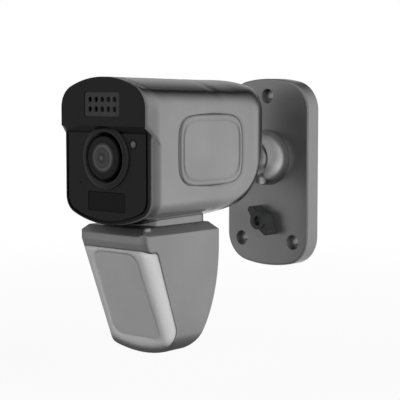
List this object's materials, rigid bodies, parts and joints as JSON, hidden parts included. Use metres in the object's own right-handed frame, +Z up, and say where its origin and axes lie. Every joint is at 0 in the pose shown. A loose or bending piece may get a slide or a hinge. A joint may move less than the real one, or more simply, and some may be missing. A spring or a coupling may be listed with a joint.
{
  "type": "floodlight security camera",
  "caption": "Bullet-shaped security camera with black front, a floodlight hanging under it and a ball-joint wall bracket with a wing knob",
  "frame": {"origin": "centre of the wall plate on the wall face, which is the rear face of the back cover", "axes": "+Z up, +Y into the wall, -Y is the way the camera looks, +X to the right seen from in front"},
  "size_m": [0.0662, 0.1453, 0.1455],
  "materials": {
    "plate_paint": "satin grey powder coat on die-cast aluminium",
    "cover_sheet": "zinc-plated sheet steel",
    "screw_steel": "zinc-plated steel",
    "dome_chrome": "satin chrome plating",
    "ball_steel": "blackened steel",
    "nut_steel": "zinc-plated steel",
    "lever_steel": "pressed steel",
    "knob_black": "black moulded nylon",
    "housing_grey": "satin grey powder coat on aluminium",
    "insert_brass": "turned brass",
    "front_black": "matt black plastic",
    "panel_black": "satin black plastic",
    "grille_grey": "dark grey moulded plastic",
    "seal_rubber": "black silicone rubber",
    "speaker_frame": "black plastic frame",
    "speaker_paper": "dark coated cone",
    "ring_chrome": "satin metal trim",
    "barrel_black": "black anodised aluminium",
    "glass_ring_metal": "satin aluminium",
    "lens_glass": "coated optical glass",
    "holder_black": "black plastic",
    "sensor_chip": "silicon behind cover glass",
    "board_green": "green solder mask on fibreglass",
    "shield_tin": "tinned steel can",
    "eye_lens": "smoked polycarbonate",
    "part_black": "black epoxy package",
    "window_black": "infrared-pass dark plastic",
    "pir_can": "nickel-plated can",
    "led_clear": "clear epoxy",
    "cell_wrap": "blue heat-shrink sleeve",
    "cradle_grey": "dark grey moulded plastic",
    "inlet_metal": "stamped steel shell",
    "plug_rubber": "black rubber",
    "antenna_gold": "gold-toned flexible circuit",
    "lamp_grey": "satin grey powder coat on aluminium",
    "cover_frost": "frosted polycarbonate",
    "pane_frost": "frosted polycarbonate",
    "reflector_white": "white moulded plastic",
    "led_yellow": "phosphor over white package",
    "led_board_white": "white solder mask on aluminium",
    "sink_aluminium": "cast aluminium",
    "lead_red": "insulated wire"
  },
  "bodies": {
    "bracket": {"wall_plate": "plate_paint", "back_cover": "cover_sheet", "cover_screws": "screw_steel"},
    "socket": {"socket_dome": "dome_chrome"},
    "stud": {"ball_stud": "ball_steel", "lock_nut": "nut_steel"},
    "camera": {"body_shell": "housing_grey", "side_cover_left": "housing_grey", "side_cover_right": "housing_grey", "stud_insert": "insert_brass", "front_bezel": "front_black", "front_panel": "panel_black", "front_seal": "seal_rubber", "speaker_grille": "grille_grey", "speaker": "speaker_frame", "speaker_cone": "speaker_paper", "lens_ring": "ring_chrome", "lens_barrel": "barrel_black", "glass_ring": "glass_ring_metal", "lens_front_glass": "lens_glass", "lens_elements": "lens_glass", "lens_holder": "holder_black", "image_sensor": "sensor_chip", "front_board": "board_green", "main_board": "board_green", "board_screws": "screw_steel", "shield_can": "shield_tin", "eye_window": "eye_lens", "eye_sensor": "part_black", "microphone": "part_black", "mic_seal": "seal_rubber", "motion_window": "window_black", "motion_sensor": "pir_can", "night_leds": "led_clear", "battery_cells": "cell_wrap", "battery_cradle": "cradle_grey", "power_tray": "cradle_grey", "tray_screws": "screw_steel", "power_board": "board_green", "power_inlet": "inlet_metal", "inlet_bracket": "board_green", "inlet_plug": "plug_rubber", "antenna": "antenna_gold", "lamp_neck": "lamp_grey", "neck_screws": "screw_steel", "lamp_housing": "lamp_grey", "light_cover": "cover_frost", "light_pane": "pane_frost", "reflector": "reflector_white", "led_board": "led_board_white", "leds": "led_yellow", "heat_sink": "sink_aluminium", "lamp_driver": "board_green", "lamp_lead": "lead_red"},
    "knob": {"wing_knob": "knob_black", "clamp_screw": "screw_steel"},
    "clamp": {"clamp_lever": "lever_steel", "clamp_nut": "nut_steel"}
  },
  "joints": [
    {"name": "socket_swivel", "type": "hinge", "parent": "bracket", "child": "socket", "pos_m": [0, -0.0129, 0.0088], "axis": [0, 1, 0], "continuous": true},
    {"name": "ball_tilt", "type": "hinge", "parent": "socket", "child": "stud", "pos_m": [0, -0.0129, 0.0088], "axis": [1, 0, 0], "range_deg": [-22, 25]},
    {"name": "camera_spin", "type": "hinge", "parent": "stud", "child": "camera", "pos_m": [0, -0.0129, 0.0088], "axis": [0, 1, 0], "continuous": true},
    {"name": "knob_turn", "type": "hinge", "parent": "bracket", "child": "knob", "pos_m": [0, -0.0129, -0.0279], "axis": [0, -1, 0], "range_deg": [0, 360]},
    {"name": "clamp_release", "type": "slide", "parent": "bracket", "child": "clamp", "axis": [0, 1, 0], "range_m": [0, 0.0008]}
  ],
  "couplings": [
    {"joint": "knob_turn", "follows": "clamp_release", "rad_per_m": 7853.9}
  ]
}
